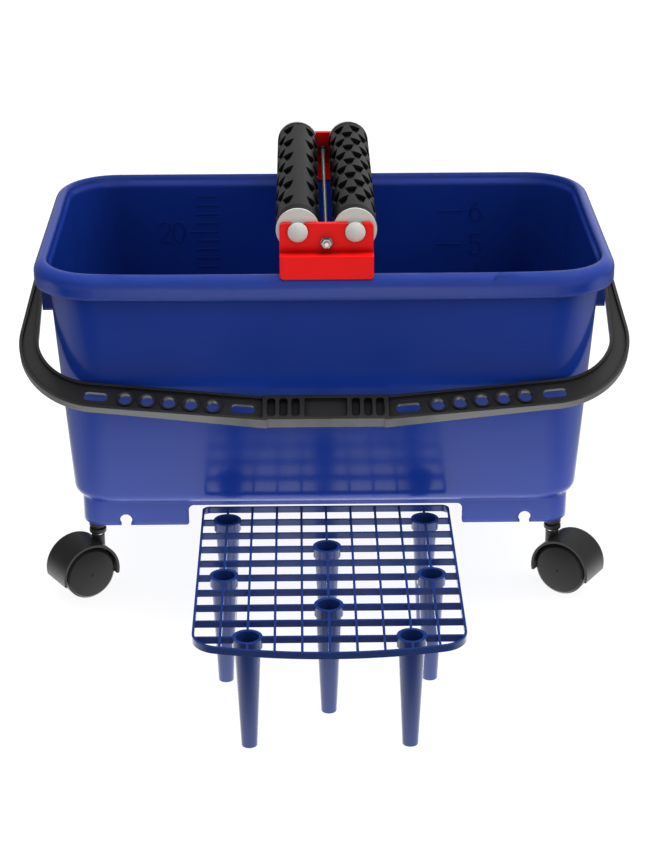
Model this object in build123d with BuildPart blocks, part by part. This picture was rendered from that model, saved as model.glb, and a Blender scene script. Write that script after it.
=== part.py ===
"""Grout cleaning bucket: a tub on four twin-wheel castors, a bail handle, a pair of
wringing rollers on the rim and a loose washing grid standing in front.

Millimetres. X runs along the tub, the front faces -Y, Z is up and the floor is Z = 0.
"""

import os
from math import atan, cos, degrees, radians, sin, sqrt

from build123d import *

os.makedirs("parts", exist_ok=True)

# Fits: sliding shafts, parts that must not touch, and pieces pushed together.
running = 0.05
apart = 0.4
snug = 0.02

# Tub: rim, walls and skirt. The front side bows out, most at the rim.
rim_length = 533.0
rim_width = 321.0
rim_corner = 60.0
rim_bow = 5.0
rim_z = 338.0
rim_bevel = 3.6
rim_bevel_drop = 10.0
lip_drop = 21.8
lip_reach = 11.8
lip_round = 10.6
lip_roof = 4.0
lip_root = 3.0
lip_edge = 1.2
wall = 3.0
flare = 15.4
base_z = 100.5
base_corner = 38.0
base_bow = 1.0
base_round = 10.0
floor_round = 8.0
skirt_drop = 25.2
skirt_inset = 7.5
skirt_corner = 22.0
foot_cut_height = 20.5
foot_cut_front = 260.0
foot_cut_end = 140.0
foot_cut_round = 5.0
foot_round = 2.5
keyhole_x = 190.0
keyhole_height = 5.5
keyhole_d = 11.5
keyhole_throat = 9.0

# Handle ears on the tub's ends.
ear_width = 128.0
ear_step = 1.0
ear_drop = 66.5
pivot_drop = 31.5
pin_d = 8.0
pin_seat = 9.0
boss_d = 22.0
stop_reach = 35.0
stop_length = 8.0
stop_depth = 4.0

# Bail handle, measured in its own plane: X along the tub, "reach" away from the pivots.
hang_angle = 28.5
bail_gap = 1.5
bail_clear = 0.8
bail_root = 4.0
bail_arm_lean = 0.125
bail_run_lean = 0.1157
bail_depth = 29.2
bail_outer_round = 82.0
bail_inner_round = 57.0
bail_web = 3.0
rail_outer = 3.0
rail_inner = 2.6
rail_width = 12.0
rail_width_end = 8.0
rail_width_inner = 8.0
rail_narrow_x = 190.0
eye_d = 16.0
hole_d = 12.2
hole_dish = 0.9
hole_first_x = 102.8
hole_pitch = 20.05
holes = 5
slot_length = 22.5
slot_width = 9.6
slot_gap = 27.3
collar_wall = 2.3
collar_width = 5.6
grip_half = 53.5
grip_step = 1.2
grip_rib = 3.8
pocket_width = 7.6
pocket_first_x = 27.4
pocket_pitch = 11.1
pocket_margin = 3.4
panel_half = 19.4
panel_depth = 3.4
grip_web = 3.0

# Roller set.
set_x = 1.5
roller_gap = 51.2
roller_d = 39.6
axis_height = 38.3
bracket_width = 84.0
bracket_height = 45.9
crease_height = 19.3
bracket_plate = 5.5
foot_back = 1.8
foot_lip = 1.2
foot_edge = 0.8
foot_corner = 4.0
foot_block = 2.6
foot_block_height = 15.5
leg_wall = 2.6
leg_gap = 1.9
journal_d = 12.0
head_d = 18.0
head_edge = 1.4
head_dome = 3.4
disc_d = 39.2
disc_thick = 3.0
core_d = 30.0
core_bore = 20.0
spigot = 10.0
rod_d = 4.0
rod_height = 28.6
rod_end = 2.0
nut_width = 8.0
nut_thick = 4.0
washer_d = 10.4
washer_thick = 1.0

# Castors.
wheel_d = 51.5
wheel_gap = 0.6
wheel_dome = 2.6
wheel_round = 2.6
hood_width = 37.0
hood_clear = 1.8
hood_wall = 2.4
hood_web = 5.0
hood_skirt = 6.5
castor_trail = 18.0
front_toe_angle = 33.0
rear_toe_angle = 70.0
neck_d = 12.6
neck_z = 57.3
stem_d = 8.0
stem_seat = 12.0
stem_ring_d = 10.6
stem_ring = 1.7
sleeve_d = 11.0
sleeve_ring_d = 16.4
sleeve_groove_d = 12.2
sleeve_groove = 1.4
sleeve_ring = 5.2
sleeve_round = 1.4
axle_d = 6.0
axle_reach = 13.0
socket_d = 20.0
socket_inset_x = 12.5
socket_inset_y = 20.0

# Washing grid.
grid_height = 104.5
cell_x = 22.9
cell_y = 27.9
cells = 10
bar = 2.2
bar_depth = 6.0
grid_front_bow = 16.0
grid_front_round = 24.0
grid_back_round = 6.0
leg_collar_d = 25.6
leg_collar = 9.0
leg_top_d = 23.4
leg_foot_d = 13.6
leg_skin = 2.0
grid_gap = 14.0

# Sizes that follow from those above.
base_length = rim_length - 2 * (lip_reach + flare)
base_width = rim_width - 2 * (lip_reach + flare)
top_length = rim_length - 2 * lip_reach
top_width = rim_width - 2 * lip_reach
top_corner = rim_corner - lip_reach
floor_z = base_z + wall
lean = flare / (rim_z - base_z)
skirt_z = base_z - skirt_drop
skirt_length = base_length - 2 * skirt_inset
skirt_width = base_width - 2 * skirt_inset
socket_x = skirt_length / 2 - socket_inset_x
socket_y = skirt_width / 2 - socket_inset_y
socket_top = base_z - wall
pivot_z = rim_z - pivot_drop
ear_face = rim_length / 2 - ear_step
bail_inner_x = ear_face + bail_gap
bail_outer_reach = (rim_width / 2 + rim_bow + bail_clear) / cos(radians(hang_angle)) + bail_depth
set_half = (rim_width + rim_bow) / 2
leg_face = set_half - lip_reach - wall - leg_gap
plate_back = leg_face - leg_wall
plate_face = plate_back + bracket_plate
foot_face = set_half - foot_back
foot_in = lip_round - foot_back - foot_lip
foot_up = sqrt((lip_round + apart) ** 2 - foot_in**2)
foot_drop = lip_round - foot_up
foot_ramp = (foot_drop + apart) * foot_up / foot_in
axis_z = rim_z + axis_height
axle_z = wheel_d / 2
grid_depth = cells * cell_y
grid_back = -(base_width / 2 + base_bow + grid_gap)

# The row's origin is the floor point under the middle of the whole object, grid included.
bucket_y = (grid_depth + bar / 2 - grid_back - rim_width / 2) / 2
set_y = bucket_y - rim_bow / 2
grid_mid_y = bucket_y + grid_back - grid_depth / 2


def level(z):
    """Horizontal plane at height z, centred on the tub."""
    return Plane((0, bucket_y, z))


def upright(x, y, z, way):
    """Plane facing the front (way -1) or the back (way 1), its Y up."""
    return Plane((x, y, z), x_dir=(-way, 0, 0), z_dir=(0, way, 0))


def section(x, z, way):
    """Plane across the roller set, its X pointing outward to the front or back and its Y up."""
    return Plane((x, set_y, z), x_dir=(0, way, 0), z_dir=(way, 0, 0))


def endways(x, side):
    """Plane at the pivots' height that faces the right end (side 1) or the left (side -1)."""
    return Plane((side * x, bucket_y, pivot_z), x_dir=(0, 1, 0), z_dir=(side, 0, 0))


def hanging(way):
    """Plane of the handle hung on the front (way -1) or the back (way 1)."""
    dip = radians(hang_angle)
    return Plane((0, bucket_y, pivot_z), x_dir=(1, 0, 0), z_dir=(0, way * sin(dip), cos(dip)))


def outline(length, width, corner, bow):
    """Rounded rectangle of the tub's plan, its front side an arc."""
    x = length / 2
    y = width / 2
    with BuildSketch() as plan:
        with BuildLine():
            Polyline((-x, -y), (-x, y), (x, y), (x, -y))
            ThreePointArc((x, -y), (0, -y - bow), (-x, -y))
        make_face()
        fillet(plan.vertices(), radius=corner)
    return plan.sketch


def outer_reach(x):
    """Reach of the handle's outer edge along its long run."""
    return bail_outer_reach - bail_run_lean * x


def bail_outer(inset):
    """Corner points of the handle's outer edge, moved inward by inset."""
    root = bail_inner_x + bail_root
    corner_reach = (bail_outer_reach - bail_run_lean * root) / (1 + bail_run_lean * bail_arm_lean)
    corner_x = root + bail_arm_lean * corner_reach
    right = [
        (root - inset, 0),
        (corner_x - inset, inset - corner_reach),
        (grip_half, inset - outer_reach(grip_half)),
        (grip_half, inset + grip_step - outer_reach(grip_half)),
    ]
    left = [(-x, y) for x, y in reversed(right)]
    return right + left


def bail_inner(outset):
    """Corner points of the handle's inner edge, moved outward by outset."""
    x = bail_inner_x + outset
    right = [
        (x, 0),
        (x, bail_depth - outset - outer_reach(bail_inner_x)),
        (grip_half, bail_depth - outset - outer_reach(grip_half)),
    ]
    left = [(-a, b) for a, b in reversed(right)]
    return right + left


def dome_half(edge, radius, dome):
    """How far out a shallow round dome stands at half its radius, from where its edge starts."""
    sphere = (radius**2 + dome**2) / (2 * dome)
    return edge + dome - sphere + sqrt(sphere**2 - radius**2 / 4)


def grid_outline(grow):
    """Outline through the grid's border bar, grown all round: the front is an arc."""
    x = cells * cell_x / 2 + grow
    y = grid_depth / 2 + grow
    with BuildSketch() as plan:
        with BuildLine():
            Polyline((x, grid_front_bow - y), (x, y), (-x, y), (-x, grid_front_bow - y))
            ThreePointArc((-x, grid_front_bow - y), (0, -y), (x, grid_front_bow - y))
        make_face()
        fillet(plan.vertices().group_by(Axis.Y)[0], radius=grid_front_round + grow)
        fillet(plan.vertices().group_by(Axis.Y)[-1], radius=grid_back_round + grow)
    return plan.sketch


# Tub: one moulding with a hollow turned-down lip, handle ears, skirt feet and castor sockets.
with BuildPart() as tub:
    with BuildSketch(level(rim_z - lip_drop)):
        add(outline(rim_length, rim_width, rim_corner, rim_bow))
    extrude(amount=lip_drop)
    fillet(tub.faces().sort_by(Axis.Z)[-1].edges(), radius=lip_round)
    fillet(tub.faces().sort_by(Axis.Z)[0].edges(), radius=lip_edge)
    with BuildSketch(level(rim_z - lip_drop)):
        add(outline(rim_length - 2 * wall, rim_width - 2 * wall, rim_corner - wall, rim_bow))
    extrude(amount=lip_drop - lip_roof, mode=Mode.SUBTRACT)
    # Body: sloping walls with a round bottom edge, the lip's hollow rounded on both sides.
    with BuildSketch(level(base_z)):
        add(outline(base_length, base_width, base_corner, base_bow))
    with BuildSketch(level(rim_z)):
        add(outline(top_length, top_width, top_corner, rim_bow))
    loft(ruled=True)
    fillet(tub.edges().group_by(Axis.Z)[0], radius=base_round)
    ceiling_z = rim_z - lip_roof
    lip_ceiling = tub.faces().filter_by_position(Axis.Z, ceiling_z, ceiling_z)[0]
    fillet(lip_ceiling.inner_wires()[0].edges(), radius=lip_root)
    lip_ceiling = tub.faces().filter_by_position(Axis.Z, ceiling_z, ceiling_z)[0]
    fillet(lip_ceiling.outer_wire().edges(), radius=lip_round / 2)
    # Ears: boxed lugs open below, each with a boss for the pivot pin and a stop for each arm.
    with BuildSketch(level(rim_z - ear_drop)):
        Rectangle(2 * ear_face, ear_width)
        Rectangle(2 * (ear_face - wall), ear_width - 2 * wall, mode=Mode.SUBTRACT)
    extrude(amount=ear_drop - lip_round)
    with BuildSketch(endways(0, 1)):
        Circle(boss_d / 2)
    extrude(amount=ear_face, both=True)
    for way in (-1, 1):
        with BuildSketch(hanging(way).offset(-rail_width_end / 2 - apart)):
            with GridLocations(2 * bail_inner_x, 0, 2, 1):
                with Locations((0, way * stop_reach)):
                    Rectangle(2 * bail_gap + wall, stop_length)
        extrude(amount=-stop_depth)
    # Inside: hollowed to one wall thickness, with a round floor edge and a steep bevel at the rim.
    with BuildSketch(level(floor_z)):
        add(
            outline(
                base_length - 2 * wall + 2 * lean * wall,
                base_width - 2 * wall + 2 * lean * wall,
                base_corner - wall,
                base_bow,
            )
        )
    with BuildSketch(level(rim_z)):
        add(outline(top_length - 2 * wall, top_width - 2 * wall, top_corner - wall, rim_bow))
    loft(ruled=True, mode=Mode.SUBTRACT)
    fillet(tub.edges().filter_by_position(Axis.Z, floor_z, floor_z), radius=floor_round)
    rim_top = tub.faces().sort_by(Axis.Z)[-1]
    chamfer(
        rim_top.inner_wires()[0].edges(), length=rim_bevel, length2=rim_bevel_drop, reference=rim_top
    )
    # Pivot seats, blind so that the wall stays whole.
    for side in (-1, 1):
        with BuildSketch(endways(ear_face, side)):
            Circle(pin_d / 2 + snug)
        extrude(amount=-pin_seat, mode=Mode.SUBTRACT)
    # Skirt under the floor: four corner feet left by the cut-outs, with castor sockets.
    with BuildSketch(level(skirt_z)):
        RectangleRounded(skirt_length, skirt_width, skirt_corner)
        RectangleRounded(
            skirt_length - 2 * wall, skirt_width - 2 * wall, skirt_corner - wall, mode=Mode.SUBTRACT
        )
        with GridLocations(2 * socket_x, 2 * socket_y, 2, 2):
            Circle(socket_d / 2)
    extrude(amount=skirt_drop + wall / 2)
    with BuildSketch(level(skirt_z)):
        with GridLocations(2 * socket_x, 2 * socket_y, 2, 2):
            Circle(sleeve_d / 2 + snug)
    extrude(amount=socket_top - skirt_z, mode=Mode.SUBTRACT)
    with BuildSketch(upright(0, bucket_y, skirt_z, -1)):
        RectangleRounded(foot_cut_front, 2 * foot_cut_height, foot_cut_round)
        with GridLocations(2 * keyhole_x, 0, 2, 1):
            with Locations((0, keyhole_height)):
                Circle(keyhole_d / 2)
            Rectangle(keyhole_throat, 2 * keyhole_height)
    extrude(amount=rim_width, both=True, mode=Mode.SUBTRACT)
    with BuildSketch(Plane((0, bucket_y, skirt_z), x_dir=(0, 1, 0), z_dir=(1, 0, 0))):
        RectangleRounded(foot_cut_end, 2 * foot_cut_height, foot_cut_round)
    extrude(amount=rim_length, both=True, mode=Mode.SUBTRACT)
    foot_edges = tub.edges().filter_by(Axis.Y).filter_by_position(Axis.Z, skirt_z, skirt_z)
    cut_x = foot_cut_front / 2
    fillet(foot_edges.filter_by_position(Axis.X, -cut_x, cut_x), radius=foot_round)
tub.part.label = "tub"
export_step(tub.part, "parts/tub.step")

# Pivot pins: plain studs pushed into the ears, flush with the handle's eyes.
with BuildPart() as pivot_pins:
    for side in (-1, 1):
        with BuildSketch(endways(ear_face + apart - pin_seat, side)):
            Circle(pin_d / 2)
        extrude(amount=pin_seat - apart + bail_gap + bail_root)
    chamfer(pivot_pins.faces().sort_by(Axis.X)[0].edges(), length=wall / 4)
    chamfer(pivot_pins.faces().sort_by(Axis.X)[-1].edges(), length=wall / 4)
pivot_pins.part.label = "pivot_pins"
export_step(pivot_pins.part, "parts/pivot_pins.step")

# Bail handle outlines: outer and inner edges, and the same edges moved in by one rail.
with BuildSketch() as bail_outside:
    with BuildLine():
        Polyline(*bail_outer(0), close=True)
    make_face()
    fillet([bail_outside.vertices().sort_by(Axis.X)[k] for k in (0, -1)], radius=bail_outer_round)
with BuildSketch() as bail_outside_rail:
    with BuildLine():
        Polyline(*bail_outer(rail_outer), close=True)
    make_face()
    fillet(
        [bail_outside_rail.vertices().sort_by(Axis.X)[k] for k in (0, -1)],
        radius=bail_outer_round - rail_outer,
    )
with BuildSketch() as bail_inside:
    with BuildLine():
        Polyline(*bail_inner(0), close=True)
    make_face()
    fillet(
        [bail_inside.vertices().group_by(Axis.X)[k].sort_by(Axis.Y)[0] for k in (0, -1)],
        radius=bail_inner_round,
    )
with BuildSketch() as bail_inside_rail:
    with BuildLine():
        Polyline(*bail_inner(rail_inner), close=True)
    make_face()
    fillet(
        [bail_inside_rail.vertices().group_by(Axis.X)[k].sort_by(Axis.Y)[0] for k in (0, -1)],
        radius=bail_inner_round + rail_inner,
    )

# Bail handle openings: a row of holes between two slots in the web of each half, and the
# collars round the holes.
hole_xs = [hole_first_x + k * hole_pitch for k in range(holes)]
slot_xs = (hole_xs[0] - slot_gap, hole_xs[-1] + slot_gap)
with BuildSketch() as web_openings:
    for side in (-1, 1):
        for x in hole_xs:
            with Locations((side * x, bail_depth / 2 - outer_reach(x))):
                Circle(hole_d / 2)
        for x in slot_xs:
            with Locations((side * x, bail_depth / 2 - outer_reach(x))):
                SlotOverall(slot_length, slot_width, rotation=side * degrees(atan(bail_run_lean)))
with BuildSketch() as hole_collars:
    for side in (-1, 1):
        for x in hole_xs:
            with Locations((side * x, bail_depth / 2 - outer_reach(x))):
                Circle(hole_d / 2 + collar_wall)

# Bail handle: a pierced web between an inner and an outer rail, with a pocketed grip.
bail_plane = hanging(-1)
grip_out = outer_reach(grip_half) - grip_step
grip_in = outer_reach(grip_half) - bail_depth
with BuildPart() as bail:
    with BuildSketch(bail_plane):
        add(bail_outside.sketch)
        add(bail_inside.sketch, mode=Mode.SUBTRACT)
    extrude(amount=bail_web / 2, both=True)
    with BuildSketch(bail_plane):
        add(bail_outside.sketch)
        add(bail_outside_rail.sketch, mode=Mode.SUBTRACT)
        with Locations((0, -(grip_in + grip_out) / 2)):
            Rectangle(2 * (grip_half + grip_rib), grip_out - grip_in)
    extrude(amount=rail_width / 2, both=True)
    with BuildSketch(bail_plane):
        add(bail_inside_rail.sketch)
        add(bail_inside.sketch, mode=Mode.SUBTRACT)
    extrude(amount=rail_width_inner / 2, both=True)
    with BuildSketch(bail_plane):
        add(hole_collars.sketch)
    extrude(amount=collar_width / 2, both=True)
    # The rails narrow from the grip to the corners.
    with BuildSketch(Plane(bail_plane.origin, x_dir=(1, 0, 0), z_dir=-bail_plane.y_dir)):
        for side in (-1, 1):
            for face in (-1, 1):
                with BuildLine():
                    Polyline(
                        (side * grip_half, face * rail_width / 2),
                        (side * rail_narrow_x, face * rail_width_end / 2),
                        (side * rim_length, face * rail_width_end / 2),
                        (side * rim_length, face * rail_width),
                        (side * grip_half, face * rail_width),
                        close=True,
                    )
                make_face()
    extrude(amount=bail_outer_reach, mode=Mode.SUBTRACT)
    # Holes and slots through their collars, the holes dished on both faces.
    with BuildSketch(bail_plane):
        add(web_openings.sketch)
    extrude(amount=rail_width, both=True, mode=Mode.SUBTRACT)
    hole_rims = bail.edges().filter_by(GeomType.CIRCLE)
    chamfer(hole_rims.filter_by(lambda edge: abs(edge.radius - hole_d / 2) < snug), length=hole_dish)
    # Grip pockets on both faces: three arched ones at each end and a shallow panel between.
    for face in (-1, 1):
        with BuildSketch(bail_plane.offset(face * grip_web / 2)):
            for x in [side * (pocket_first_x + k * pocket_pitch) for side in (-1, 1) for k in range(3)]:
                with Locations((x, -(grip_in + grip_out) / 2)):
                    RectangleRounded(
                        pocket_width, grip_out - grip_in - 2 * pocket_margin, pocket_width / 2.2
                    )
        extrude(amount=face * rail_width, mode=Mode.SUBTRACT)
        with BuildSketch(bail_plane.offset(face * (rail_width / 2 - panel_depth))):
            with Locations((0, -(grip_in + grip_out) / 2)):
                RectangleRounded(2 * panel_half, grip_out - grip_in - 2 * pocket_margin, pocket_width / 4)
        extrude(amount=face * rail_width, mode=Mode.SUBTRACT)
    # Eyes on the pivot pins.
    for side in (-1, 1):
        with BuildSketch(endways(bail_inner_x, side)):
            Circle(eye_d / 2)
        extrude(amount=bail_root)
    with BuildSketch(endways(0, 1)):
        Circle(pin_d / 2 + running)
    extrude(amount=rim_length, both=True, mode=Mode.SUBTRACT)
bail.part.label = "bail"
export_step(bail.part, "parts/bail.step")

# Roller brackets: a plate standing on each long rim on a broad foot, which slopes down over
# the round of the rim and has a low lip inside it, slotted from above for the rollers.
for name, way in (("bracket_front", -1), ("bracket_rear", 1)):
    with BuildPart() as bracket:
        with BuildSketch(section(set_x, rim_z, way)):
            with BuildLine():
                Polyline(
                    (plate_back - foot_block, -foot_drop),
                    (leg_face, -foot_drop),
                    (leg_face, apart),
                    (foot_face - foot_lip - foot_ramp, apart),
                    (foot_face - foot_lip, -foot_drop),
                    (foot_face, -foot_drop),
                    (foot_face, crease_height),
                    (plate_face, crease_height),
                    (plate_face, bracket_height),
                    (plate_back, bracket_height),
                    (plate_back, foot_block_height),
                    (plate_back - foot_block, foot_block_height),
                    close=True,
                )
            make_face()
        extrude(amount=bracket_width / 2, both=True)
        with BuildSketch(upright(set_x, set_y, rim_z, way)) as front_view:
            with Locations((0, (bracket_height - foot_drop) / 2)):
                Rectangle(bracket_width, bracket_height + foot_drop)
            fillet(front_view.vertices().group_by(Axis.Z)[0], radius=foot_corner)
        extrude(amount=rim_width, mode=Mode.INTERSECT)
        fillet(bracket.faces().sort_by(Axis.Y)[0 if way < 0 else -1].edges(), radius=foot_edge)
        with BuildSketch(upright(set_x, set_y, axis_z, way)):
            with GridLocations(roller_gap, 0, 2, 1):
                Circle(journal_d / 2 + running)
                with Locations((0, bracket_height / 2)):
                    Rectangle(journal_d + 2 * running, bracket_height)
            with Locations((0, rod_height - axis_height)):
                Circle(rod_d / 2 + running)
        extrude(amount=rim_width, mode=Mode.SUBTRACT)
    bracket.part.label = name
    export_step(bracket.part, "parts/" + name + ".step")

# Rollers: two white end caps with journals and heads, a core tube and a rubber sleeve.
disc_in = plate_back - apart - disc_thick
head_out = plate_face + apart + head_edge
for name, x in (("left", set_x - roller_gap / 2), ("right", set_x + roller_gap / 2)):
    with BuildPart() as caps:
        for way in (-1, 1):
            with BuildSketch(section(x, axis_z, way)):
                with BuildLine():
                    Polyline(
                        (head_out + head_dome, 0),
                        (disc_in - spigot, 0),
                        (disc_in - spigot, core_bore / 2 - snug),
                        (disc_in, core_bore / 2 - snug),
                        (disc_in, disc_d / 2),
                        (disc_in + disc_thick, disc_d / 2),
                        (disc_in + disc_thick, journal_d / 2),
                        (plate_face + apart, journal_d / 2),
                        (plate_face + apart, head_d / 2),
                        (head_out, head_d / 2),
                    )
                    ThreePointArc(
                        (head_out, head_d / 2),
                        (dome_half(head_out, head_d / 2, head_dome), head_d / 4),
                        (head_out + head_dome, 0),
                    )
                make_face()
            revolve(axis=Axis((x, set_y, axis_z), (0, 1, 0)))
    caps.part.label = "roller_caps_" + name
    export_step(caps.part, "parts/roller_caps_" + name + ".step")
    with BuildPart() as core:
        with BuildSketch(upright(x, set_y, axis_z, -1)):
            Circle(core_d / 2 - snug)
            Circle(core_bore / 2, mode=Mode.SUBTRACT)
        extrude(amount=disc_in, both=True)
    core.part.label = "roller_core_" + name
    export_step(core.part, "parts/roller_core_" + name + ".step")
    with BuildPart() as sleeve:
        with BuildSketch(upright(x, set_y, axis_z, -1)):
            Circle(roller_d / 2)
            Circle(core_d / 2, mode=Mode.SUBTRACT)
        extrude(amount=disc_in - snug, both=True)
    sleeve.part.label = "roller_sleeve_" + name
    export_step(sleeve.part, "parts/roller_sleeve_" + name + ".step")

# Tie rod through both brackets, between and below the rollers.
with BuildPart() as tie_rod:
    with BuildSketch(upright(set_x, set_y, rim_z + rod_height, -1)):
        Circle(rod_d / 2)
    extrude(amount=plate_face + washer_thick + nut_thick + rod_end, both=True)
tie_rod.part.label = "tie_rod"
export_step(tie_rod.part, "parts/tie_rod.step")

# Washers on the outer face of each bracket.
with BuildPart() as tie_washers:
    for way in (-1, 1):
        with BuildSketch(upright(set_x, set_y, rim_z + rod_height, way).offset(plate_face)):
            Circle(washer_d / 2)
            Circle(rod_d / 2 + running, mode=Mode.SUBTRACT)
        extrude(amount=washer_thick)
tie_washers.part.label = "tie_washers"
export_step(tie_washers.part, "parts/tie_washers.step")

# Hex nuts outside and inside the brackets.
with BuildPart() as tie_nuts:
    for way in (-1, 1):
        for near in (plate_face + washer_thick, plate_back - nut_thick):
            with BuildSketch(upright(set_x, set_y, rim_z + rod_height, way).offset(near)):
                RegularPolygon(nut_width / 2, 6, major_radius=False)
                Circle(rod_d / 2 + running, mode=Mode.SUBTRACT)
            extrude(amount=nut_thick)
tie_nuts.part.label = "tie_nuts"
export_step(tie_nuts.part, "parts/tie_nuts.step")

# Castor sleeves: ringed plastic bushes pushed into the four corner sockets.
sleeve_z = neck_z + stem_ring + apart
upper_ring_z = sleeve_z + sleeve_ring + sleeve_groove
with BuildPart() as castor_sleeves:
    for ring_z, ring_top in ((sleeve_z, sleeve_z + sleeve_ring), (upper_ring_z, skirt_z)):
        with BuildSketch(level(ring_z)):
            with GridLocations(2 * socket_x, 2 * socket_y, 2, 2):
                Circle(sleeve_ring_d / 2)
        extrude(amount=ring_top - ring_z)
    lower_rims = castor_sleeves.edges().filter_by_position(Axis.Z, sleeve_z, upper_ring_z)
    fillet(lower_rims.filter_by(GeomType.CIRCLE), radius=sleeve_round)
    with BuildSketch(level(sleeve_z)):
        with GridLocations(2 * socket_x, 2 * socket_y, 2, 2):
            Circle(sleeve_groove_d / 2)
    extrude(amount=upper_ring_z - sleeve_z)
    with BuildSketch(level(upper_ring_z)):
        with GridLocations(2 * socket_x, 2 * socket_y, 2, 2):
            Circle(sleeve_d / 2)
    extrude(amount=socket_top - wall / 2 - upper_ring_z)
    with BuildSketch(level(sleeve_z)):
        with GridLocations(2 * socket_x, 2 * socket_y, 2, 2):
            Circle(stem_d / 2 + running)
    extrude(amount=socket_top - wall - sleeve_z, mode=Mode.SUBTRACT)
castor_sleeves.part.label = "castor_sleeves"
export_step(castor_sleeves.part, "parts/castor_sleeves.step")

# Castors: stem, hood, axle and two wheels each, the front pair toed out as they stand.
hood_r = wheel_d / 2 + hood_clear + hood_wall
wheel_in = hood_web / 2 + wheel_gap
wheel_out = hood_width / 2 - wheel_gap
face_r = wheel_d / 2 - wheel_round
for tag, side, way, toe in (
    ("fl", -1, -1, front_toe_angle),
    ("fr", 1, -1, front_toe_angle),
    ("rl", -1, 1, rear_toe_angle),
    ("rr", 1, 1, rear_toe_angle),
):
    trail_x = side * cos(radians(toe))
    trail_y = way * sin(radians(toe))
    stem_x = side * socket_x
    stem_y = bucket_y + way * socket_y
    axle_x = stem_x + castor_trail * trail_x
    axle_y = stem_y + castor_trail * trail_y
    hood_plane = Plane((axle_x, axle_y, axle_z), x_dir=(trail_x, trail_y, 0), z_dir=(trail_y, -trail_x, 0))
    with BuildPart() as stem:
        with BuildSketch(Plane((stem_x, stem_y, neck_z - stem_seat))):
            Circle(stem_d / 2)
        extrude(amount=socket_top - wall - apart - neck_z + stem_seat)
        with BuildSketch(Plane((stem_x, stem_y, neck_z))):
            Circle(stem_ring_d / 2)
        extrude(amount=stem_ring)
    stem.part.label = "castor_" + tag + "_stem"
    export_step(stem.part, "parts/castor_" + tag + "_stem.step")
    with BuildPart() as hood:
        with BuildSketch(hood_plane):
            Circle(hood_r)
        extrude(amount=hood_width / 2, both=True)
        with BuildSketch(Plane((stem_x, stem_y, axle_z))):
            Circle(neck_d / 2)
        extrude(amount=neck_z - axle_z)
        for face in (-1, 1):
            with BuildSketch(hood_plane.offset(face * hood_web / 2)):
                Circle(hood_r - hood_wall)
            extrude(amount=face * hood_width, mode=Mode.SUBTRACT)
        with BuildSketch(hood_plane):
            with Locations((0, -hood_skirt - wheel_d / 2)):
                Rectangle(3 * wheel_d, wheel_d)
            Circle(axle_d / 2 + snug)
        extrude(amount=hood_width, both=True, mode=Mode.SUBTRACT)
        with BuildSketch(Plane((stem_x, stem_y, neck_z))):
            Circle(stem_d / 2 + snug)
        extrude(amount=-stem_seat, mode=Mode.SUBTRACT)
    hood.part.label = "castor_" + tag + "_hood"
    export_step(hood.part, "parts/castor_" + tag + "_hood.step")
    with BuildPart() as axle:
        with BuildSketch(hood_plane):
            Circle(axle_d / 2)
        extrude(amount=axle_reach, both=True)
    axle.part.label = "castor_" + tag + "_axle"
    export_step(axle.part, "parts/castor_" + tag + "_axle.step")
    for end, face in (("a", -1), ("b", 1)):
        wheel_plane = Plane(
            (axle_x, axle_y, axle_z),
            x_dir=(face * trail_y, -face * trail_x, 0),
            z_dir=(face * trail_x, face * trail_y, 0),
        )
        with BuildPart() as wheel:
            with BuildSketch(wheel_plane):
                with BuildLine():
                    Polyline(
                        (wheel_out + wheel_dome, 0),
                        (axle_reach + apart, 0),
                        (axle_reach + apart, axle_d / 2 + running),
                        (wheel_in, axle_d / 2 + running),
                        (wheel_in, face_r),
                        (wheel_in + wheel_round, wheel_d / 2),
                        (wheel_out - wheel_round, wheel_d / 2),
                        (wheel_out, face_r),
                    )
                    ThreePointArc(
                        (wheel_out, face_r),
                        (dome_half(wheel_out, face_r, wheel_dome), face_r / 2),
                        (wheel_out + wheel_dome, 0),
                    )
                make_face()
            revolve(axis=Axis(wheel_plane.origin, wheel_plane.x_dir))
        wheel.part.label = "castor_" + tag + "_wheel_" + end
        export_step(wheel.part, "parts/castor_" + tag + "_wheel_" + end + ".step")

# Washing grid: a lattice with eight hollow tapered legs, collared and open at the top.
grid_top = Plane((0, grid_mid_y, grid_height))
leg_nodes = ((1, 1), (9, 1), (5, 3), (1, 5), (9, 5), (5, 7), (2, 9), (8, 9))
leg_spots = [
    ((i - cells / 2) * cell_x, grid_mid_y + grid_depth / 2 - k * cell_y, 0) for i, k in leg_nodes
]
leg_slope = (leg_top_d - leg_foot_d) / 2 / grid_height
with BuildPart() as grid:
    with BuildSketch(grid_top):
        with GridLocations(cell_x, 0, cells - 1, 1):
            Rectangle(bar, grid_depth)
        with GridLocations(0, cell_y, 1, cells - 1):
            Rectangle(cells * cell_x, bar)
        add(grid_outline(0), mode=Mode.INTERSECT)
    extrude(amount=-bar_depth)
    with BuildSketch(grid_top):
        add(grid_outline(bar / 2))
        add(grid_outline(-bar / 2), mode=Mode.SUBTRACT)
    extrude(amount=-bar_depth)
    with Locations(*leg_spots):
        Cone(leg_foot_d / 2, leg_top_d / 2, grid_height, align=(Align.CENTER, Align.CENTER, Align.MIN))
    with Locations(*[(x, y, grid_height) for x, y, z in leg_spots]):
        Cylinder(leg_collar_d / 2, leg_collar, align=(Align.CENTER, Align.CENTER, Align.MAX))
    with Locations(*[(x, y, leg_skin) for x, y, z in leg_spots]):
        Cone(
            leg_foot_d / 2 - leg_skin + leg_slope * leg_skin,
            leg_top_d / 2 - leg_skin,
            grid_height - leg_skin,
            align=(Align.CENTER, Align.CENTER, Align.MIN),
            mode=Mode.SUBTRACT,
        )
grid.part.label = "grid"
export_step(grid.part, "parts/grid.step")
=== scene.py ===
import math

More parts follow.
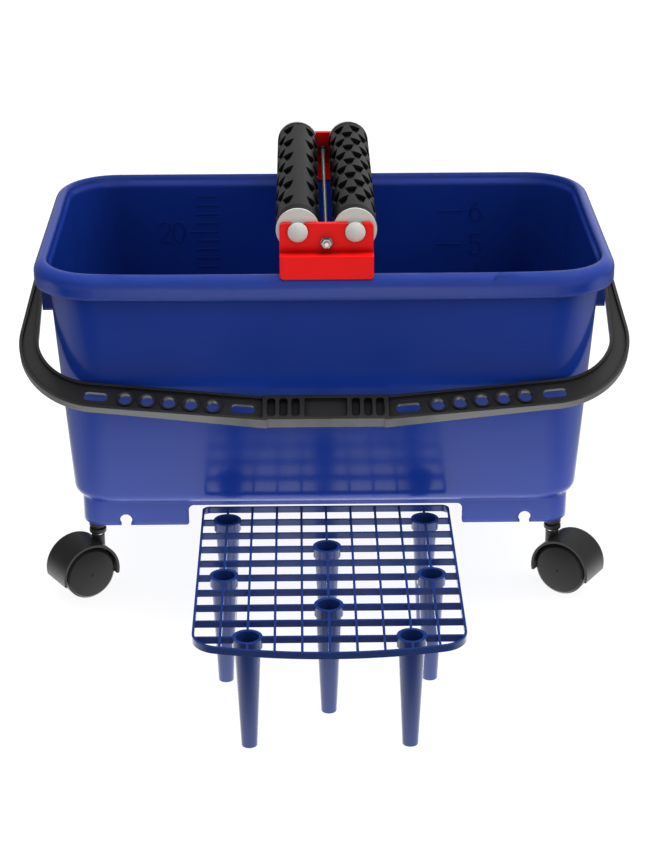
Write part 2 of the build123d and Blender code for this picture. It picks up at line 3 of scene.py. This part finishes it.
import bpy
import numpy as np
from mathutils import Matrix, Vector


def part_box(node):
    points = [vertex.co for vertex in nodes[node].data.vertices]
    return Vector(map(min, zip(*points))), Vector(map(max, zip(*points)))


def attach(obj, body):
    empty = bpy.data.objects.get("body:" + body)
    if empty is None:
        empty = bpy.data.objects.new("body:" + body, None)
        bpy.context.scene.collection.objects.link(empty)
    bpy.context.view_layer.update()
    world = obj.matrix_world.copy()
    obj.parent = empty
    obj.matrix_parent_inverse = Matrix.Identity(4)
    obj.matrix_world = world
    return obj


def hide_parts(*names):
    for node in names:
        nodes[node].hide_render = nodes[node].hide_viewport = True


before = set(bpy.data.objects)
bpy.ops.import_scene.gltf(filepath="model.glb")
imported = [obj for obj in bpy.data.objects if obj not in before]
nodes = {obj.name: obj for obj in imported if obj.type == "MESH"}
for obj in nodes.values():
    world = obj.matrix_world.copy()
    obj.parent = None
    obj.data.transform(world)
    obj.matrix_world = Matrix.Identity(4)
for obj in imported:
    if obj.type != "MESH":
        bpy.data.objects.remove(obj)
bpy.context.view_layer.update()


# Tub: one deep injection moulding in blue polypropylene, smooth and glossy, with a hollow
# turned-down lip, a boxed ear at each end and a skirt that leaves four feet for the castors.
def finish(name, colour, roughness, grain=0.0, shine=0.5, edge=0.0, hollow=0.0, alone=True, metal=0.0):
    """Finish of a moulded or plated piece: a colour that drifts a little over the piece, uneven
    gloss and a fine grain. Edges catch the light as if rounded by edge. Painted shade: places
    within reach of another surface, one of the piece itself or of its neighbours too where alone
    is off, are painted darker in colour and less shiny."""
    drift_scale, drift_share = 14.0, 0.05
    gloss_share = 0.15
    grain_scale, grain_depth = 900.0, 0.0004
    mat = bpy.data.materials.new(name)
    mat.use_nodes = True
    tree = mat.node_tree
    shader = tree.nodes["Principled BSDF"]
    shader.inputs["Specular IOR Level"].default_value = shine
    shader.inputs["Metallic"].default_value = metal
    where = tree.nodes.new("ShaderNodeTexCoord")
    drift = tree.nodes.new("ShaderNodeTexNoise")
    drift.inputs["Scale"].default_value = drift_scale
    drift.inputs["Detail"].default_value = 4.0
    tree.links.new(where.outputs["Object"], drift.inputs["Vector"])
    shade = tree.nodes.new("ShaderNodeValToRGB")
    dark, light = shade.color_ramp.elements
    dark.position = 0.3
    light.position = 0.7
    dark.color = [c * (1 - drift_share) for c in colour] + [1.0]
    light.color = [c * (1 + drift_share) for c in colour] + [1.0]
    tree.links.new(drift.outputs["Fac"], shade.inputs["Fac"])
    tree.links.new(shade.outputs["Color"], shader.inputs["Base Color"])
    gloss = tree.nodes.new("ShaderNodeMapRange")
    gloss.inputs["To Min"].default_value = roughness * (1 - gloss_share)
    gloss.inputs["To Max"].default_value = roughness * (1 + gloss_share)
    tree.links.new(drift.outputs["Fac"], gloss.inputs["Value"])
    tree.links.new(gloss.outputs["Result"], shader.inputs["Roughness"])
    bump = tree.nodes.new("ShaderNodeBump")
    bump.inputs["Strength"].default_value = grain
    bump.inputs["Distance"].default_value = grain_depth
    fine = tree.nodes.new("ShaderNodeTexNoise")
    fine.inputs["Scale"].default_value = grain_scale
    fine.inputs["Detail"].default_value = 2.0
    tree.links.new(where.outputs["Object"], fine.inputs["Vector"])
    tree.links.new(fine.outputs["Fac"], bump.inputs["Height"])
    tree.links.new(bump.outputs["Normal"], shader.inputs["Normal"])
    # Painted shade: occlusion within reach darkens the colour and lowers the shine.
    if hollow:
        depth = tree.nodes.new("ShaderNodeAmbientOcclusion")
        depth.only_local = alone
        depth.inputs["Distance"].default_value = hollow
        tree.links.new(shade.outputs["Color"], depth.inputs["Color"])
        tree.links.new(depth.outputs["Color"], shader.inputs["Base Color"])
        dull = tree.nodes.new("ShaderNodeMath")
        dull.operation = "MULTIPLY"
        dull.inputs[1].default_value = shine
        tree.links.new(depth.outputs["AO"], dull.inputs[0])
        tree.links.new(dull.outputs[0], shader.inputs["Specular IOR Level"])
    if edge:
        rounding = tree.nodes.new("ShaderNodeBevel")
        rounding.inputs["Radius"].default_value = edge
        tree.links.new(rounding.outputs["Normal"], bump.inputs["Normal"])
    return mat


def dress(names, mat):
    """Gives CAD nodes one material."""
    for name in names:
        mesh = nodes[name].data
        mesh.materials.clear()
        mesh.materials.append(mat)


# The tub is painted darker and less shiny inside and in its other recesses: painted shade.
tub_blue = finish("tub_blue", (0.008, 0.037, 0.29), 0.17, shine=0.385, edge=0.005, hollow=0.17)
dress(["tub"], tub_blue)
tub_back_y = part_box("tub")[1][1]


# Volume scale: ticks and plain numbers moulded proud on the inside of the tub's back wall, in
# a darker, less shiny copy of the tub's blue, as painted shade. Litres stand at the left and
# gallons at the right.
def strokes(digit):
    """Pen lines of a digit in a unit square: straight lines, and arcs as points on an ellipse
    that run evenly from one angle to another."""
    def arc(u, v, wide, tall, start, end):
        turn = np.radians(np.linspace(start, end, 16))
        return np.stack([u + wide * np.cos(turn), v + tall * np.sin(turn)], axis=1).tolist()
    shapes = {
        "0": [arc(0.5, 0.5, 0.5, 0.5, 0, 360)],
        "1": [[(0.2, 0.75), (0.55, 1), (0.55, 0)]],
        "2": [arc(0.5, 0.72, 0.48, 0.28, 165, -35) + [(0, 0), (1, 0)]],
        "3": [arc(0.48, 0.745, 0.45, 0.255, 150, -80), arc(0.48, 0.255, 0.52, 0.255, 80, -150)],
        "4": [[(0.75, 0), (0.75, 1), (0, 0.3), (1, 0.3)]],
        "5": [[(0.92, 1), (0.15, 1), (0.08, 0.55)] + arc(0.48, 0.33, 0.5, 0.33, 125, -150)],
        "6": [arc(0.95, 0.33, 0.95, 0.65, 105, 180), arc(0.5, 0.33, 0.5, 0.33, 180, 540)],
    }
    return shapes[digit]


def ring_faces(rows, around, looped=False):
    """Quads between the neighbouring rings of a grid, and from its last ring back to its first
    where looped: each joins a point, the one beside it, and the same two on the next ring."""
    row, here = np.meshgrid(np.arange(rows if looped else rows - 1), np.arange(around), indexing="ij")
    after = (row + 1) % rows
    beside = (here + 1) % around
    quads = [row * around + here, row * around + beside, after * around + beside, after * around + here]
    return np.stack(quads, axis=-1).reshape(-1, 4)


def wall_marks(name, lines):
    """Ribbons along pen lines on the sloping inside wall: at each point of a line, a low
    trapezium square to the line, sunk a little into the wall and standing proud of it."""
    wide, proud, sunk = 0.0013, 0.0006, 0.0004
    wall_foot_y, wall_foot_z, wall_slope = tub_back_y - 0.030, 0.1035, 0.06525
    across = wide * np.array([1.0, 0.6, -0.6, -1.0])
    height = np.array([-sunk, proud, proud, -sunk])
    points, faces = [], []
    count = 0
    for line in lines:
        line = np.array(line)
        ahead = np.gradient(line, axis=0)
        ahead /= np.linalg.norm(ahead, axis=1)[:, None]
        side = np.stack([-ahead[:, 1], ahead[:, 0]], axis=1)
        x_z = line[:, None, :] + side[:, None, :] * across[None, :, None]
        y = wall_foot_y + wall_slope * (x_z[..., 1] - wall_foot_z) - height
        points += np.stack([x_z[..., 0], y, x_z[..., 1]], axis=-1).reshape(-1, 3).tolist()
        last = count + 4 * (len(line) - 1)
        faces += (count + ring_faces(len(line), 4)).tolist()
        faces += [(count, count + 3, count + 2, count + 1), (last, last + 1, last + 2, last + 3)]
        count = last + 4
    mesh = bpy.data.meshes.new(name)
    mesh.from_pydata(points, [], faces)
    piece = bpy.data.objects.new(name, mesh)
    bpy.context.scene.collection.objects.link(piece)
    return piece


litre_20_z, litre_step = 0.2791, 0.0092
litre_left, litre_left_long, litre_right = -0.1277, -0.1344, -0.1064
gallon_5_z, gallon_step = 0.2645, 0.0349
gallon_left, gallon_right = 0.1186, 0.1442
tens_x, units_x, litre_20_foot_z = -0.1662, -0.1520, 0.2687
gallon_digit_x, gallon_5_foot_z = 0.1525, 0.2540
digit_width, digit_height = 0.0113, 0.0211
marks = []
for litres in range(3, 25):
    z = litre_20_z + litre_step * (litres - 20)
    left = litre_left_long if litres % 10 == 0 else litre_left
    marks.append([(left, z), (litre_right, z)])
for gallons in range(1, 7):
    z = gallon_5_z + gallon_step * (gallons - 5)
    marks.append([(gallon_left, z), (gallon_right, z)])
digits = []
for tens, litres in (("2", 20), ("1", 10)):
    z = litre_20_foot_z + litre_step * (litres - 20)
    digits += [(tens, tens_x, z), ("0", units_x, z)]
for gallons in range(2, 7):
    digits.append((str(gallons), gallon_digit_x, gallon_5_foot_z + gallon_step * (gallons - 5)))
for digit, x, z in digits:
    marks += [[(x + digit_width * u, z + digit_height * v) for u, v in line] for line in strokes(digit)]
scale = wall_marks("volume_scale", marks)
# Painted shade: the marks take a darker, less shiny blue than the tub.
scale.data.materials.append(finish("scale_shaded_blue", (0.0053, 0.0225, 0.176), 0.25, shine=0.2))
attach(scale, "tub_body")

# Handle: black polypropylene with a satin grain, a pierced web between two rails. Its eyes
# turn on plain pins in the tub's ears.
handle_colour = (0.021, 0.0204, 0.0185)
# The web between the rails and the handle's other recesses are painted darker and less shiny: painted shade.
handle_black = finish("handle_black", handle_colour, 0.26, grain=0.12, shine=0.65, edge=0.0006, hollow=0.012)
dress(["bail", "pivot_pins"], handle_black)

# Roller brackets: two red mouldings, slotted for the rollers' journals. Each stands on a long
# rim of the tub on a broad foot.
bracket_colour = (0.95, 0.009, 0.009)
# Painted shade: the brackets are painted darker and less shiny in their recesses and near neighbouring parts
# such as the rollers and heads.
bracket_red = finish("bracket_red", bracket_colour, 0.25, shine=0.08, edge=0.0008, hollow=0.012, alone=False)
dress(["bracket_front", "bracket_rear"], bracket_red)

# Roller caps and cores: off-white moulded end caps with journals and domed heads, pushed into
# a tube of grey plastic.
cap_white = finish("cap_white", (0.63, 0.635, 0.595), 0.3, edge=0.0006)
core_grey = finish("core_grey", (0.2, 0.2, 0.21), 0.45)
for side in ("left", "right"):
    dress(["roller_caps_" + side], cap_white)
    dress(["roller_core_" + side], core_grey)


# Roller sleeves: black rubber moulded with columns of wedge-shaped pits, every other column
# half a step along, and one smooth strip. Both are the same piece, turned differently.
def pitted_sleeve(name, node, turn):
    """Tube about Y whose radius dips at the pits. A pit is a wedge: from its near tip it widens
    and deepens evenly towards the back, where it ends in a steep wall. Columns of pits stand at
    even angles round the tube, apart from a smooth strip, and fine rings mark both ends."""
    low, high = (np.array(corner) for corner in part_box(node))
    middle = (low + high) / 2
    radius = (high[0] - low[0]) / 2
    half = (high[1] - low[1]) / 2
    bore, edge = 0.015, 0.0008
    first_pit, pitch, length, depth = -0.1232, 0.0454, 0.025, 0.004
    tip_width, end_width, bank = 0.0018, 0.0063, 0.0007
    columns, first, spacing = 13, math.radians(41.0), math.radians(24.33)
    plain = half - 0.011
    ring_gap, ring_depth, ring_step = 0.001, 0.0003, 0.0022
    angle = np.linspace(0, 2 * math.pi, 280, endpoint=False)
    along = np.linspace(edge - half, half - edge, 330)
    a, s = np.meshgrid(angle, along)
    dip = np.zeros_like(a)
    for column in range(columns):
        around = radius * ((a - turn - first - column * spacing + math.pi) % (2 * math.pi) - math.pi)
        start = first_pit + (column % 2) * pitch / 2
        reach = (s - start + pitch / 2) % pitch - pitch / 2
        share = np.clip(reach / length, 0, 1)
        wide = tip_width + (end_width - tip_width) * share
        inside = np.clip((wide - np.abs(around)) / bank, 0, 1)
        inside = inside * inside * (3 - 2 * inside)
        closing = np.clip((length - reach) / bank, 0, 1)
        origin = s - reach
        whole = (origin + 0.4 * length > -plain) & (origin + 0.6 * length < plain)
        dip = np.maximum(dip, depth * share**0.7 * inside * closing * whole)
    dip[np.abs(s) > plain] = 0
    rings = np.abs(s) > plain + ring_gap
    dip[rings] = ring_depth * (0.5 - 0.5 * np.cos(2 * math.pi * s[rings] / ring_step))
    bore_row = np.full((1, len(angle)), bore)
    edge_row = np.full((1, len(angle)), radius - edge)
    r = np.vstack([bore_row, edge_row, radius - dip, edge_row, bore_row])
    y = np.concatenate([[-half, -half], along, [half, half]])
    points = np.stack([
        middle[0] + r * np.sin(angle)[None, :],
        middle[1] + np.broadcast_to(y[:, None], r.shape),
        middle[2] + r * np.cos(angle)[None, :],
    ], axis=-1).reshape(-1, 3)
    mesh = bpy.data.meshes.new(name)
    mesh.from_pydata(points.tolist(), [], ring_faces(*r.shape, looped=True).tolist())
    mesh.shade_smooth()
    mesh.set_sharp_from_angle(angle=math.radians(50))
    pit_share = np.pad(dip / depth, ((2, 2), (0, 0)))
    mesh.attributes.new("pit", "FLOAT", "POINT").data.foreach_set("value", pit_share.ravel())
    piece = bpy.data.objects.new(name, mesh)
    bpy.context.scene.collection.objects.link(piece)
    return piece


sleeve_shine = 0.1
sleeve_rubber = finish("sleeve_rubber", (0.006, 0.006, 0.0057), 0.33, grain=0.5, shine=sleeve_shine)
rubber = sleeve_rubber.node_tree
rubber_shader = rubber.nodes["Principled BSDF"]
# Painted shade: the pits are painted near black and lose their shine in step with their depth.
pit = rubber.nodes.new("ShaderNodeAttribute")
pit.attribute_name = "pit"
pit_shadow = rubber.nodes.new("ShaderNodeMix")
pit_shadow.data_type = "RGBA"
top_colour, pit_shade_colour = (s for s in pit_shadow.inputs if s.type == "RGBA")
pit_shade_colour.default_value = (0.002, 0.002, 0.002, 1.0)
shadowed = next(s for s in pit_shadow.outputs if s.type == "RGBA")
rubber.links.new(pit.outputs["Fac"], pit_shadow.inputs["Factor"])
rubber.links.new(rubber.nodes["Color Ramp"].outputs["Color"], top_colour)
rubber.links.new(shadowed, rubber_shader.inputs["Base Color"])
pit_shade_shine = rubber.nodes.new("ShaderNodeMapRange")
pit_shade_shine.inputs["To Min"].default_value = sleeve_shine
pit_shade_shine.inputs["To Max"].default_value = 0.0
rubber.links.new(pit.outputs["Fac"], pit_shade_shine.inputs["Value"])
rubber.links.new(pit_shade_shine.outputs["Result"], rubber_shader.inputs["Specular IOR Level"])
for side, turn in (("left", 0.0), ("right", math.radians(-169.0))):
    sleeve = pitted_sleeve("pitted_sleeve_" + side, "roller_sleeve_" + side, turn)
    sleeve.data.materials.append(sleeve_rubber)
    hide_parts("roller_sleeve_" + side)
    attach(sleeve, "roller_" + side)

# Tie rod, washers and nuts: zinc-plated steel. The rod runs through both brackets and the nuts
# hold them at their distance.
zinc = finish("zinc", (0.55, 0.55, 0.53), 0.25, edge=0.0004, metal=0.85)
dress(["tie_rod"], zinc)
# The washers and nuts take a darker zinc than the rod, and are painted darker and less shiny near the
# brackets and rod: painted shade.
nut_zinc = finish("nut_zinc", (0.34, 0.34, 0.335), 0.2, edge=0.0003, hollow=0.02, alone=False, metal=0.85)
dress(["tie_washers", "tie_nuts"], nut_zinc)

# Castors: dark grey plastic hoods, twin wheels and ringed bushes, on bright zinc stems that are
# pushed into the tub's sockets.
castor_black = finish("castor_black", (0.017, 0.017, 0.0164), 0.35, grain=0.06, shine=0.22, edge=0.0006)
wheel_black = finish("wheel_black", (0.0085, 0.0085, 0.0082), 0.38, grain=0.1, shine=0.15)
dress(["castor_sleeves"], castor_black)
for corner in ("fl", "fr", "rl", "rr"):
    dress(["castor_" + corner + "_hood"], castor_black)
    dress(["castor_" + corner + bit for bit in ("_wheel_a", "_wheel_b")], wheel_black)
    dress(["castor_" + corner + bit for bit in ("_stem", "_axle")], zinc)

# Washing grid: a loose moulding in a darker blue, a lattice on eight hollow legs that stands
# on the floor or in the tub.
grid_blue = finish("grid_blue", (0.012, 0.034, 0.165), 0.22, shine=0.48, edge=0.0005)
dress(["grid"], grid_blue)


# Surround: a white studio. What lights the object is bright overhead and in front and darker
# between, and a little brighter at the right. Shiny faces mirror an even, softer white.
def combine(tree, operation, first, second):
    """Math node on a socket and on a second socket or a number."""
    node = tree.nodes.new("ShaderNodeMath")
    node.operation = operation
    tree.links.new(first, node.inputs[0])
    if isinstance(second, float):
        node.inputs[1].default_value = second
    else:
        tree.links.new(second, node.inputs[1])
    return node.outputs[0]


def swapped(tree, share, usual, level):
    """Level in place of the usual brightness, by a share."""
    node = tree.nodes.new("ShaderNodeMix")
    node.inputs["B"].default_value = level
    tree.links.new(share, node.inputs["Factor"])
    tree.links.new(usual, node.inputs["A"])
    return node.outputs["Result"]


def bands(tree, value, low, high, stops, top):
    """Brightness that follows a number from low to high through (number, brightness) stops."""
    place = tree.nodes.new("ShaderNodeMapRange")
    place.inputs["From Min"].default_value = low
    place.inputs["From Max"].default_value = high
    tree.links.new(value, place.inputs["Value"])
    ramp = tree.nodes.new("ShaderNodeValToRGB")
    elements = ramp.color_ramp.elements
    while len(elements) < len(stops):
        elements.new(0.5)
    for element, (number, brightness) in zip(elements, stops):
        element.position = (number - low) / (high - low)
        element.color = [brightness / top] * 3 + [1.0]
    tree.links.new(place.outputs["Result"], ramp.inputs["Fac"])
    return combine(tree, "MULTIPLY", ramp.outputs["Color"], top)


mirrored_white, seen_white = 0.55, 1.0
climb_stops = [(0, 0.9), (38, 0.9), (58, 0.25), (75, 0.7), (86, 4.2), (108, 4.2), (122, 0.3), (180, 0.3)]
climb_stops = [(math.radians(climb), brightness) for climb, brightness in climb_stops]
sideways_stops = [(-0.9, 0.3), (-0.4, 0.65), (0.4, 1.3), (0.9, 0.8)]
world = bpy.data.worlds.new("surround")
bpy.context.scene.world = world
world.use_nodes = True
sky = world.node_tree
way = sky.nodes.new("ShaderNodeTexCoord")
parts = sky.nodes.new("ShaderNodeSeparateXYZ")
sky.links.new(way.outputs["Generated"], parts.inputs[0])
forward = combine(sky, "MULTIPLY", parts.outputs["Y"], -1.0)
climb = combine(sky, "ARCTAN2", parts.outputs["Z"], forward)
path = sky.nodes.new("ShaderNodeLightPath")
glow = bands(sky, climb, 0.0, math.pi, climb_stops, 5.0)
glow = swapped(sky, path.outputs["Is Glossy Ray"], glow, mirrored_white)
sideways = bands(sky, parts.outputs["X"], -1.0, 1.0, sideways_stops, 2.0)
glow = combine(sky, "MULTIPLY", glow, sideways)
seen = combine(sky, "MAXIMUM", path.outputs["Is Camera Ray"], path.outputs["Is Transmission Ray"])
glow = swapped(sky, seen, glow, seen_white)
backdrop = sky.nodes["Background"]
backdrop.inputs["Color"].default_value = (1.0, 1.0, 1.0, 1.0)
sky.links.new(glow, backdrop.inputs["Strength"])

# Floor: pale, and it keeps the object's shadow. Its light is strongest under and near the tub,
# with a dark band in front of the grid.
floor_half = 4.0
floor_stops = [(-0.98, 1.9), (-0.76, 0.9), (-0.62, 0.25), (-0.385, 0.2), (-0.29, 1.6)]
floor_stops += [(-0.15, 2.2), (0.0, 2.6), (0.6, 0.5)]
floor_side_stops = [(-0.42, 0.35), (-0.26, 0.92), (0.26, 0.95), (0.42, 0.4)]
floor_white, floor_white_share = 1.12, 0.82
floor_corners = [(x * floor_half, y * floor_half, 0) for x, y in ((-1, -1), (1, -1), (1, 1), (-1, 1))]
floor_mesh = bpy.data.meshes.new("floor")
floor_mesh.from_pydata(floor_corners, [], [(0, 1, 2, 3)])
floor = bpy.data.objects.new("floor", floor_mesh)
bpy.context.scene.collection.objects.link(floor)
pale_floor = bpy.data.materials.new("pale_floor")
pale_floor.use_nodes = True
ground = pale_floor.node_tree
ground_shader = ground.nodes["Principled BSDF"]
ground_shader.inputs["Base Color"].default_value = (0.8, 0.8, 0.8, 1.0)
ground_shader.inputs["Roughness"].default_value = 0.9
ground_path = ground.nodes.new("ShaderNodeLightPath")
ground_where = ground.nodes.new("ShaderNodeTexCoord")
ground_place = ground.nodes.new("ShaderNodeSeparateXYZ")
ground.links.new(ground_where.outputs["Object"], ground_place.inputs[0])
ground_level = bands(ground, ground_place.outputs["Y"], -1.0, 1.0, floor_stops, 3.0)
ground_side = bands(ground, ground_place.outputs["X"], -0.5, 0.5, floor_side_stops, 2.0)
ground_level = combine(ground, "MULTIPLY", ground_level, ground_side)
ground_light = ground.nodes.new("ShaderNodeEmission")
ground.links.new(ground_level, ground_light.inputs["Strength"])
ground_white = ground.nodes.new("ShaderNodeEmission")
ground_white.inputs["Strength"].default_value = floor_white
ground_seen = ground.nodes.new("ShaderNodeMixShader")
ground_seen.inputs["Fac"].default_value = floor_white_share
ground.links.new(ground_shader.outputs[0], ground_seen.inputs[1])
ground.links.new(ground_white.outputs[0], ground_seen.inputs[2])
ground_mix = ground.nodes.new("ShaderNodeMixShader")
ground.links.new(ground_path.outputs["Is Camera Ray"], ground_mix.inputs["Fac"])
ground.links.new(ground_light.outputs[0], ground_mix.inputs[1])
ground.links.new(ground_seen.outputs[0], ground_mix.inputs[2])
ground.links.new(ground_mix.outputs[0], ground.nodes["Material Output"].inputs["Surface"])
floor_mesh.materials.append(pale_floor)

# Camera: in front of the tub and above it, turned and rolled by a hair, as the photograph was
# taken.
photo_height, focal_pixels = 867.0, 2200.0
tub_middle_y = tub_back_y - 0.1605
camera_place = Vector((-0.021, tub_middle_y - 2.015, 0.9985))
pitch, yaw, roll = (math.radians(degrees) for degrees in (23.70, 0.63, 0.21))
ahead = Vector((math.sin(yaw) * math.cos(pitch), math.cos(yaw) * math.cos(pitch), -math.sin(pitch)))
flat_right = Vector((math.cos(yaw), -math.sin(yaw), 0.0))
flat_down = ahead.cross(flat_right)
right = math.cos(roll) * flat_right + math.sin(roll) * flat_down
down = -math.sin(roll) * flat_right + math.cos(roll) * flat_down
lens = bpy.data.cameras.new("camera")
lens.sensor_fit = "VERTICAL"
lens.sensor_height = 36.0
lens.lens = focal_pixels * lens.sensor_height / photo_height
camera = bpy.data.objects.new("camera", lens)
camera.matrix_world = Matrix.Translation(camera_place) @ Matrix((right, -down, -ahead)).transposed().to_4x4()
bpy.context.scene.collection.objects.link(camera)
bpy.context.scene.camera = camera
bpy.context.scene.view_settings.view_transform = "Standard"
